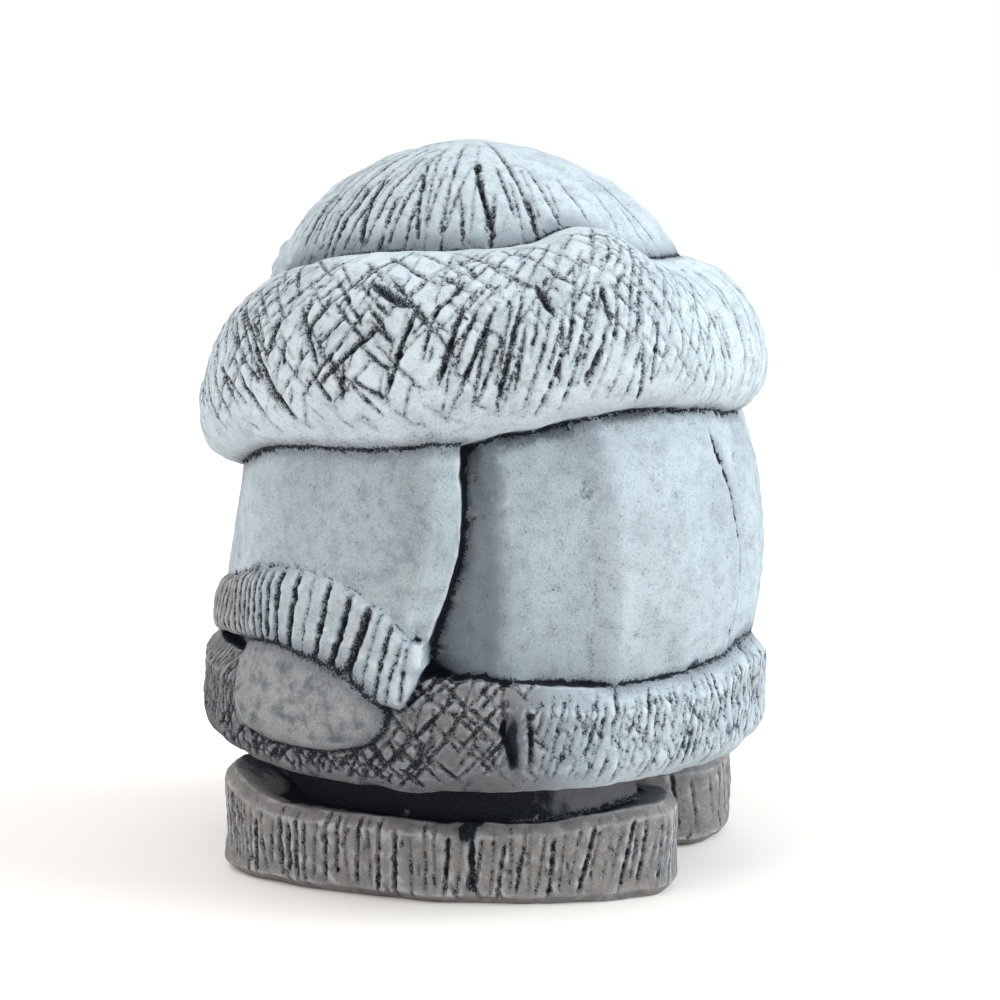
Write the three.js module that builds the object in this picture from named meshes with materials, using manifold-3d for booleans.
// A small cast figurine of a person in a hooded fur parka, mittens and fur boots.
// Millimetres. +Z is up, the figure faces -Y and its left side is +X.
// The origin is the middle of the footprint, on the surface it stands on.
import * as THREE from "three";
import { mergeVertices } from "three/addons/utils/BufferGeometryUtils.js";
import Module from "manifold-3d";

const wasm = await Module();
wasm.setup();

// Driving dimensions. A turn is the angle from the front of the figure, 0 to 180 degrees,
// and is the same on both sides. An azimuth is the angle from +X towards +Y.
const FIGURE_HEIGHT = 60;
const HEAD = { middleY: -0.6, middleZ: 47, radius: 16.9, backFall: 0.8, backReach: 0.9 };
const FACE = { middleY: -4, middleZ: 49.4, radius: 14.1, above: 4.6, below: 10.5, chinFullness: 0.8 };
const FEATURES = {
  eye: { x: 4.3, z: 49.3, halfWidth: 2.1, halfHeight: 1, proud: 0.45 },
  nose: { x: 0, z: 47.3, halfWidth: 1.7, halfHeight: 1.3, proud: 1.3 },
  upperLip: { x: 0, z: 45.2, halfWidth: 2.5, halfHeight: 0.55, proud: 0.4 },
  lowerLip: { x: 0, z: 44.3, halfWidth: 2, halfHeight: 0.6, proud: 0.45 },
};
const COLLAR = {
  inner: 12,
  fullness: 2.2,
  lean: 1.7,
  outer: [[0, 23.5], [20, 23.5], [45, 24.2], [95, 25.4], [135, 24.3], [160, 22.8], [180, 23.5]],
  top: [[0, 42.2], [20, 44.6], [44, 49.2], [90, 50.9], [130, 51], [160, 50.1], [180, 50.4]],
  bottom: [[0, 32.6], [40, 33.9], [66, 35.5], [92, 35.6], [112, 37.3], [140, 38.8], [180, 37.8]],
  ridge: { azimuth: 47, height: 1.8, width: 15 },
};
const TORSO = {
  foot: 14,
  shoulder: 43,
  waistZ: 26.5,
  curve: 0.0155,
  slopeZ: 20,
  frontSlope: [[0, 0.28], [30, 0.25], [60, 0.12], [100, 0], [180, 0]],
  facets: [[0, 22.6], [24, 22.9], [50, 22.5], [76, 22.2], [108, 22.2], [111, 22.8], [132, 23.5],
    [152, 23.7], [169, 23.4], [180, 23.2]],
};
const SLEEVE = {
  inner: 16.5,
  foot: 17,
  top: 40,
  front: -64,
  bevelWidth: 4.6,
  bevelDepth: 1.1,
  rear: [[16.7, 2.8], [18.5, 6.5], [22.3, 10.2], [25.3, 12.4], [29.1, 13.8], [37, 13.5], [40, 13]],
  low: [[0, 22], [20, 22.3], [50, 23.5], [80, 24.4], [110, 24.6]],
  high: [[0, 18.4], [20, 18.8], [45, 20.9], [70, 23], [110, 23.8]],
  lowZ: 20,
  highZ: 38,
};
const CUFF = {
  front: -63,
  rear: 7.4,
  inner: 18.5,
  raise: 0.75,
  upper: [[-63, 24], [-43, 25.3], [-20, 27.1], [-10, 26.6], [0, 24.5], [7.4, 21.9]],
  lower: [[-63, 19.4], [-40, 20.6], [-25, 20.5], [-17, 19.7], [-9, 18.2], [3, 16.7], [7.4, 20.2]],
};
const MITTEN = {
  azimuth: -17.6,
  halfTurn: 22.4,
  middleZ: 17.8,
  halfHeight: 5,
  middleRadius: 20.2,
  depth: 5.7,
  lean: 0.22,
};
const HEM = {
  bottom: 10.8,
  bottomTilt: 0.45,
  bottomLow: 45,
  outer: [[0, 23.8], [90, 24.4], [135, 23.9], [180, 23.8]],
  top: [[0, 19.2], [100, 19], [138, 17.9], [158, 18.4], [180, 19.8]],
  ledge: 1.7,
  ledgeSlope: 0.8,
  underHeight: 2.2,
  underDepth: 1.6,
};
const LEG = { middleX: 8.4, halfWidth: 7.4, halfLength: 15.4, foot: 4, top: 13 };
const BOOT = {
  middleX: 9.25,
  halfWidth: 8.75,
  front: -19.1,
  edge: 0.8,
  cornerFullness: 3,
  height: [[-20, 8.6], [-12, 6.6], [8, 6.4], [18, 7.4]],
};
const BOOTS = [
  { side: 1, back: 18.6, heel: 1.5 },
  { side: -1, back: 19.1, heel: 2.8 },
];
// The carved strokes: how many, and the width and depth of each.
const CARVING = {
  hair: { count: 19, width: 0.8, depth: 0.5, crown: 20, tips: 64 },
  collar: { count: 20, width: 0.8, depth: 0.4, lean: 5, rows: [[-30, 8], [12, 48]] },
  hem: { count: 30, width: 0.8, depth: 0.5, lean: 3, low: 11.9, high: 16.6 },
  cuff: { count: 11, width: 0.8, depth: 0.6, margin: 0.5, lean: 1.8 },
  boot: { count: 18, width: 0.8, depth: 0.5, reach: 110, low: 0.2, high: 0.86 },
  face: { width: 0.5, depth: 0.2 },
};
const MITTEN_COVER = [42, 98];
const CUT_LIFT = 0.9;
const CUT_END = 0.3;
const RADIAN = Math.PI / 180;

// The height of a smooth line through a few [place, value] pairs, level beyond its ends.
function along(pairs, place) {
  const last = pairs.length - 1;
  if (place <= pairs[0][0]) return pairs[0][1];
  if (place >= pairs[last][0]) return pairs[last][1];
  const i = pairs.findIndex((pair) => pair[0] > place) - 1;
  const slope = (a, b) => (pairs[b][1] - pairs[a][1]) / (pairs[b][0] - pairs[a][0]);
  const steep = slope(i, i + 1);
  const limit = (other) => (steep * other <= 0 ? 0 : (2 * steep * other) / (steep + other));
  const start = i > 0 ? limit(slope(i - 1, i)) : 0;
  const end = i + 1 < last ? limit(slope(i + 1, i + 2)) : 0;
  const span = pairs[i + 1][0] - pairs[i][0];
  const t = (place - pairs[i][0]) / span;
  const rise = pairs[i + 1][1] - pairs[i][1];
  return pairs[i][1] + t * span * start * (1 - t) ** 2 + t * t * (3 - 2 * t) * rise
    - (1 - t) * span * end * t * t;
}

// Straight lines between the pairs.
function straight(pairs, place) {
  const i = Math.max(1, pairs.findIndex((pair) => pair[0] >= place));
  const [x0, y0] = pairs[i - 1];
  const [x1, y1] = pairs[i];
  return y0 + ((y1 - y0) * (place - x0)) / (x1 - x0);
}

// A flat cut between two corners of a plan, given by turn and radius, seen from the axis.
function chord(pairs, turn) {
  const i = Math.max(1, pairs.findIndex((pair) => pair[0] >= turn));
  const [turn0, radius0] = pairs[i - 1];
  const [turn1, radius1] = pairs[i];
  const whole = Math.sin((turn1 - turn0) * RADIAN);
  const near = Math.sin((turn1 - turn) * RADIAN) / radius1;
  const far = Math.sin((turn - turn0) * RADIAN) / radius0;
  return whole / (near + far);
}

function turnOf(azimuth) {
  const wrapped = ((((azimuth + 270) % 360) + 360) % 360) - 180;
  return Math.abs(wrapped);
}

function power(value, exponent) {
  return Math.sign(value) * Math.abs(value) ** exponent;
}

function mix(a, b, share) {
  return a + (b - a) * share;
}

function polar(azimuth, radius, z) {
  return new THREE.Vector3(radius * Math.cos(azimuth * RADIAN), radius * Math.sin(azimuth * RADIAN), z);
}

// A steady irregular number from -1 to 1 for each index, for cuts made by hand.
function uneven(index) {
  const wave = Math.sin(index * 12.9898 + 4.1) * 43758.5453;
  return 2 * (wave - Math.floor(wave)) - 1;
}

// The surfaces. Each gives the point for two parameters.
function headPoint(azimuth, polarAngle) {
  const flat = Math.sin(polarAngle * RADIAN) * HEAD.radius;
  const up = Math.cos(polarAngle * RADIAN) * (FIGURE_HEIGHT - HEAD.middleZ);
  const point = polar(azimuth, flat, HEAD.middleZ + up);
  const back = Math.max(0, point.y) / HEAD.radius;
  point.z -= HEAD.backFall * back * (2 - back);
  point.y += HEAD.middleY + HEAD.backReach * back;
  return point;
}

// The front of the face, by its place across and up.
function facePoint(x, z) {
  const up = z - FACE.middleZ;
  const share = up > 0 ? up / FACE.above : (-up / FACE.below) ** (1 / FACE.chinFullness);
  const reach = FACE.radius ** 2 * (1 - share * share) - x * x;
  return new THREE.Vector3(x, FACE.middleY - Math.sqrt(Math.max(0, reach)), z);
}

function collarPoint(azimuth, around) {
  const turn = turnOf(azimuth);
  const fromRidge = (azimuth - COLLAR.ridge.azimuth) / COLLAR.ridge.width;
  const top = along(COLLAR.top, turn) + COLLAR.ridge.height * Math.exp(-fromRidge * fromRidge);
  const bottom = along(COLLAR.bottom, turn);
  const outer = along(COLLAR.outer, turn);
  const wide = (outer - COLLAR.inner) / 2;
  const rise = power(Math.sin(around * RADIAN), 2 / COLLAR.fullness);
  const reach = power(Math.cos(around * RADIAN), 2 / COLLAR.fullness);
  const radius = COLLAR.inner + wide + wide * reach - COLLAR.lean * rise;
  return polar(azimuth, radius, (top + bottom) / 2 + (rise * (top - bottom)) / 2);
}

function torsoPoint(azimuth, z) {
  const turn = turnOf(azimuth);
  const belly = TORSO.curve * (z - TORSO.waistZ) ** 2;
  const slope = along(TORSO.frontSlope, turn) * Math.max(0, z - TORSO.slopeZ);
  return polar(azimuth, chord(TORSO.facets, turn) - belly - slope, z);
}

function hemPoint(azimuth, z) {
  const turn = turnOf(azimuth);
  const top = along(HEM.top, turn);
  const bottom = hemBottom(azimuth);
  const outer = along(HEM.outer, turn);
  const low = Math.max(0, 1 - (z - bottom) / HEM.underHeight);
  const high = Math.max(0, z - (top - HEM.ledge));
  return polar(azimuth, outer - HEM.underDepth * low * low - HEM.ledgeSlope * high, z);
}

function hemBottom(azimuth) {
  return HEM.bottom - HEM.bottomTilt * Math.cos((azimuth - HEM.bottomLow) * RADIAN);
}

function sleeveRadius(azimuth, z) {
  const turn = turnOf(azimuth);
  const share = (z - SLEEVE.lowZ) / (SLEEVE.highZ - SLEEVE.lowZ);
  return mix(along(SLEEVE.low, turn), along(SLEEVE.high, turn), share);
}

function cuffPoint(azimuth, z) {
  return polar(azimuth, sleeveRadius(azimuth, z) + CUFF.raise, z);
}

// The level of a boot is 0 at the sole and 1 at the rim, which is higher at toe and heel.
function bootPoint(boot, angle, level) {
  const cos = Math.cos(angle * RADIAN);
  const sin = Math.sin(angle * RADIAN);
  const corner = cos > 0 && sin > 0 ? boot.heel : BOOT.cornerFullness;
  const length = (boot.back - BOOT.front) / 2;
  const middle = BOOT.front + length;
  const height = along(BOOT.height, middle + length * power(sin, 2 / corner));
  const z = level * height;
  const inset = Math.max(0, BOOT.edge - z) + Math.max(0, z - height + BOOT.edge);
  const x = BOOT.middleX + (BOOT.halfWidth - inset) * power(cos, 2 / corner);
  const y = middle + (length - inset) * power(sin, 2 / corner);
  return new THREE.Vector3(x, y, z);
}

// A capped cylinder of three.js with each ring moved to where place() puts it.
function skin(columns, rows, place) {
  const shape = new THREE.CylinderGeometry(1, 1, 1, columns, rows);
  const spots = shape.attributes.position;
  for (let i = 0; i < spots.count; i += 1) {
    const rise = spots.getY(i) + 0.5;
    const spot = new THREE.Vector3();
    if (Math.hypot(spots.getX(i), spots.getZ(i)) > 0.5) {
      const angle = Math.atan2(spots.getX(i), spots.getZ(i)) / (2 * Math.PI);
      const column = (Math.round(angle * columns) + columns) % columns;
      spot.copy(place(column / columns, rise));
    } else {
      for (let k = 0; k < columns; k += 1) spot.add(place(k / columns, rise));
      spot.divideScalar(columns);
    }
    spots.setXYZ(i, spot.x, spot.y, spot.z);
  }
  return shape;
}

function moved(shape, place) {
  const spots = shape.attributes.position;
  for (let i = 0; i < spots.count; i += 1) {
    const spot = place(spots.getX(i), spots.getY(i), spots.getZ(i));
    spots.setXYZ(i, spot.x, spot.y, spot.z);
  }
  return shape;
}

function mirrored(shape) {
  const copy = shape.clone();
  copy.scale(-1, 1, 1);
  const corners = copy.index;
  for (let i = 0; i < corners.count; i += 3) {
    const first = corners.getX(i);
    corners.setX(i, corners.getX(i + 1));
    corners.setX(i + 1, first);
  }
  return copy;
}

function solid(shape) {
  const bare = shape.clone();
  bare.deleteAttribute("normal");
  bare.deleteAttribute("uv");
  const merged = mergeVertices(bare, 1e-4);
  return new wasm.Manifold(new wasm.Mesh({
    numProp: 3,
    vertProperties: new Float32Array(merged.attributes.position.array),
    triVerts: new Uint32Array(merged.index.array),
  }));
}

// The parameter pairs of a straight stroke in so many steps.
function stroke(from, to, steps) {
  const pairs = [];
  for (let i = 0; i <= steps; i += 1) {
    pairs.push([mix(from[0], to[0], i / steps), mix(from[1], to[1], i / steps)]);
  }
  return pairs;
}

// A cut with a V section along parameter pairs on a surface, shallow at both ends.
function cut(surface, path, width, depth) {
  const rows = path.length - 1;
  const run = surface(...path[rows]).sub(surface(...path[0])).normalize();
  const step = 0.05;
  return moved(new THREE.CylinderGeometry(1, 1, 1, 3, rows), (x, y, z) => {
    const share = y + 0.5;
    const [a, b] = path[Math.round(share * rows)];
    const sideA = surface(a + step, b).sub(surface(a - step, b));
    const sideB = surface(a, b + step).sub(surface(a, b - step));
    const normal = sideA.cross(sideB).normalize();
    const middle = surface(a, b);
    const axis = new THREE.Vector3(0, 0, middle.z);
    if (normal.dot(middle.clone().sub(axis)) + 0.3 * normal.z < 0) normal.negate();
    const across = run.clone().cross(normal).normalize();
    const atEnd = rows > 1 && (share < 0.01 || share > 0.99);
    const deep = depth * (atEnd ? CUT_END : 1);
    const half = (width / 2) * ((deep + CUT_LIFT) / depth);
    const height = z > 0.5 ? -deep : CUT_LIFT;
    const centre = Math.hypot(x, z) < 0.5;
    middle.addScaledVector(normal, centre ? (2 * CUT_LIFT - deep) / 3 : height);
    if (!centre && z < 0) middle.addScaledVector(across, -Math.sign(x) * half);
    return middle;
  });
}

// The masses of the figure.
function head() {
  const ball = new THREE.SphereGeometry(1, 30, 12);
  return moved(ball, (x, y, z) => {
    const polarAngle = Math.acos(THREE.MathUtils.clamp(y, -1, 1)) / RADIAN;
    return headPoint(Math.atan2(-z, x) / RADIAN, polarAngle);
  });
}

function face() {
  const ball = new THREE.SphereGeometry(1, 24, 12);
  return moved(ball, (x, y, z) => {
    const up = y > 0 ? y * FACE.above : power(y, FACE.chinFullness) * FACE.below;
    return new THREE.Vector3(x * FACE.radius, FACE.middleY - z * FACE.radius, FACE.middleZ + up);
  });
}

// A low rounded swelling on the face.
function feature({ x, z, halfWidth, halfHeight, proud }, side) {
  const depth = 2 * proud;
  const followFace = x > 0 ? 0.3 * side * halfWidth : 0;
  const middle = facePoint(side * x, z).add(new THREE.Vector3(0, depth - proud, 0));
  const ball = new THREE.SphereGeometry(1, 10, 6);
  return moved(ball, (across, up, back) => new THREE.Vector3(
    middle.x + across * halfWidth,
    middle.y - back * depth + across * followFace,
    middle.z + up * halfHeight,
  ));
}

function features() {
  const { eye, nose, upperLip, lowerLip } = FEATURES;
  const middle = [nose, upperLip, lowerLip].map((shape) => feature(shape, 1));
  return [feature(eye, 1), feature(eye, -1), ...middle];
}

function collar() {
  const ring = new THREE.TorusGeometry(1, 0.5, 12, 40);
  return moved(ring, (x, y, z) => {
    const around = Math.atan2(z, Math.hypot(x, y) - 1) / RADIAN;
    return collarPoint(Math.atan2(y, x) / RADIAN, around);
  });
}

function torso() {
  const left = TORSO.facets.map((corner) => corner[0] - 90);
  const right = TORSO.facets.slice(1, -1).reverse().map((corner) => 270 - corner[0]);
  const corners = [...left, ...right];
  return skin(corners.length, 6, (share, rise) => {
    const azimuth = corners[Math.round(share * corners.length)];
    return torsoPoint(azimuth, mix(TORSO.foot, TORSO.shoulder, rise));
  });
}

function hem() {
  const levels = [0, 0.1, 0.25, 0.5, 0.8, 1];
  return skin(44, 5, (share, rise) => {
    const azimuth = share * 360 - 90;
    const bottom = hemBottom(azimuth);
    const top = along(HEM.top, turnOf(azimuth));
    return hemPoint(azimuth, mix(bottom, top, levels[Math.round(rise * 5)]));
  });
}

function leg(side) {
  return skin(18, 1, (share, rise) => {
    const angle = share * 2 * Math.PI;
    const x = side * LEG.middleX + LEG.halfWidth * Math.cos(angle);
    return new THREE.Vector3(x, LEG.halfLength * Math.sin(angle), mix(LEG.foot, LEG.top, rise));
  });
}

function bootShape(boot) {
  const levels = [0, 0.12, 0.88, 1];
  const shape = skin(26, 3, (share, rise) => {
    return bootPoint(boot, share * 360, levels[Math.round(rise * 3)]);
  });
  return boot.side > 0 ? shape : mirrored(shape);
}

function sleeve() {
  const outerShare = 0.75;
  return skin(20, 6, (share, rise) => {
    const nominal = mix(SLEEVE.foot, SLEEVE.top, rise);
    const rear = along(SLEEVE.rear, nominal);
    const onOuter = share <= outerShare;
    const across = onOuter ? share / outerShare : (1 - share) / (1 - outerShare);
    const azimuth = mix(SLEEVE.front, rear, onOuter ? across ** 0.85 : across);
    const z = mix(straight(CUFF.lower, Math.min(azimuth, 6)) + 1, SLEEVE.top, rise);
    const bevel = Math.max(0, azimuth - (rear - SLEEVE.bevelWidth)) / SLEEVE.bevelWidth;
    const outer = sleeveRadius(azimuth, z) - SLEEVE.bevelDepth * bevel;
    return polar(azimuth, onOuter ? outer : SLEEVE.inner, z);
  });
}

function cuff() {
  return skin(10, 11, (share, rise) => {
    const azimuth = mix(CUFF.front, CUFF.rear, rise);
    const upper = along(CUFF.upper, azimuth);
    const lower = along(CUFF.lower, azimuth);
    const section = share * 2 * Math.PI;
    const up = power(Math.cos(section), 0.45);
    const out = power(Math.sin(section), 0.45);
    const z = (upper + lower) / 2 + (up * (upper - lower)) / 2;
    const outer = sleeveRadius(azimuth, z) + CUFF.raise;
    const radius = (outer + CUFF.inner) / 2 + (out * (outer - CUFF.inner)) / 2;
    return polar(azimuth, radius, z);
  });
}

function mitten() {
  const ball = new THREE.SphereGeometry(1, 14, 8);
  return moved(ball, (x, y, z) => {
    const azimuth = MITTEN.azimuth + MITTEN.halfTurn * power(-z, 0.75);
    const rise = MITTEN.halfHeight * power(y, 0.7);
    const radius = MITTEN.middleRadius + MITTEN.depth * power(x, 0.8) - MITTEN.lean * rise;
    return polar(azimuth, radius, MITTEN.middleZ + rise);
  });
}

// The blades that carve each part.
function hairCuts() {
  const { count, width, depth, crown, tips } = CARVING.hair;
  const blades = [];
  for (let i = 0; i < count; i += 1) {
    const azimuth = (i * 360) / count + 3 * uneven(i);
    const start = [azimuth, crown + 8 * uneven(i + 50)];
    const end = [azimuth + 4 * uneven(i + 90), tips + 5 * uneven(i + 20)];
    blades.push(cut(headPoint, stroke(start, end, 2), width, depth));
  }
  return blades;
}

function collarCuts() {
  const { count, width, depth, lean, rows } = CARVING.collar;
  const blades = [];
  rows.forEach(([low, high], row) => {
    for (let i = 0; i < count; i += 1) {
      const azimuth = ((i + row / 2) * 360) / count + 1.5 * uneven(i + 40 * row);
      const side = (lean + 1.5 * uneven(i + 60)) * ((i + row) % 2 ? 1 : -1);
      const path = stroke([azimuth - side, low + 6 * uneven(i)], [azimuth + side, high], 1);
      blades.push(cut(collarPoint, path, width, depth));
    }
  });
  return blades;
}

function hemCuts() {
  const { count, width, depth, lean, low, high } = CARVING.hem;
  const [coverStart, coverEnd] = MITTEN_COVER;
  const blades = [];
  for (let i = 0; i < count; i += 1) {
    const azimuth = (i * 360) / count;
    const turn = turnOf(azimuth);
    if (turn > coverStart && turn < coverEnd) continue;
    const side = (lean + uneven(i)) * (i % 2 ? 1 : -1);
    const path = stroke([azimuth - side, low], [azimuth + side, high], 1);
    blades.push(cut(hemPoint, path, width, depth));
  }
  return blades;
}

function cuffCuts() {
  const { count, width, depth, margin, lean } = CARVING.cuff;
  const blades = [];
  for (let i = 0; i < count; i += 1) {
    const share = i / (count - 1);
    const azimuth = mix(CUFF.front + 5, CUFF.rear - 4, share) + 0.5 * uneven(i);
    const side = lean * share;
    const low = along(CUFF.lower, azimuth - side) + margin;
    const high = along(CUFF.upper, azimuth + side) - margin;
    const path = stroke([azimuth - side, low], [azimuth + side, high], 1);
    blades.push(cut(cuffPoint, path, width, depth));
  }
  return blades;
}

function bootCuts(boot) {
  const { count, width, depth, reach, low, high } = CARVING.boot;
  const blades = [];
  const surface = (angle, level) => bootPoint(boot, angle, level);
  for (let i = 0; i < count; i += 1) {
    const angle = mix(-reach, reach, i / (count - 1)) + 1.5 * uneven(i);
    const start = [angle, low + 0.07 * uneven(i + 11)];
    const end = [angle + uneven(i + 2), high + 0.05 * uneven(i + 5)];
    blades.push(cut(surface, stroke(start, end, 1), width, depth));
  }
  return boot.side > 0 ? blades : blades.map(mirrored);
}

function faceCuts() {
  const { eye, lowerLip } = FEATURES;
  const eyeLine = (side) => [-1, 0, 1].map((across) => {
    return [side * (eye.x + across * eye.halfWidth), eye.z - 0.1 - 0.35 * (1 - across * across)];
  });
  const mouth = [-1, 0, 1].map((across) => [across * 2.6, lowerLip.z + 0.45 + 0.2 * across * across]);
  const { width, depth } = CARVING.face;
  return [eyeLine(1), eyeLine(-1), mouth].map((path) => cut(facePoint, path, width, depth));
}

// The seams: down the front, down the back, and two breaks in the hem.
function bodyCuts() {
  return [
    cut(torsoPoint, [[-90, 32], [-90, 21]], 0.9, 0.5),
    cut(torsoPoint, [[72, 37], [77, 31], [80, 25], [77, 18]], 1.4, 0.8),
    cut(hemPoint, [[87, 9.5], [86, 15], [84, 20.5]], 1.6, 1.2),
    cut(hemPoint, [[27, 9.8], [24, 17.5]], 1.4, 0.8),
  ];
}

// The joined and carved body.
function figurine() {
  const leftArm = [sleeve(), cuff(), mitten()];
  const masses = [
    head(),
    face(),
    collar(),
    torso(),
    hem(),
    leg(1),
    leg(-1),
    ...features(),
    ...BOOTS.map(bootShape),
    ...leftArm,
    ...leftArm.map(mirrored),
  ];
  const joined = masses.map(solid).reduce((whole, mass) => whole.add(mass));
  const sleeveCuts = cuffCuts();
  const blades = [
    ...hairCuts(),
    ...faceCuts(),
    ...collarCuts(),
    ...hemCuts(),
    ...sleeveCuts,
    ...sleeveCuts.map(mirrored),
    ...BOOTS.flatMap(bootCuts),
    ...bodyCuts(),
  ];
  const carved = blades.map(solid).reduce((whole, blade) => whole.subtract(blade), joined);
  const mesh = carved.getMesh();
  const geometry = new THREE.BufferGeometry();
  geometry.setAttribute("position", new THREE.BufferAttribute(mesh.vertProperties, 3));
  geometry.setIndex(new THREE.BufferAttribute(mesh.triVerts, 1));
  geometry.computeVertexNormals();
  return geometry;
}

const stone = new THREE.MeshStandardMaterial({ color: 0x9ba6b0, roughness: 0.9, metalness: 0 });
const body = new THREE.Mesh(figurine(), stone);
body.name = "figurine";
const figure = new THREE.Group();
figure.add(body);
export default figure;
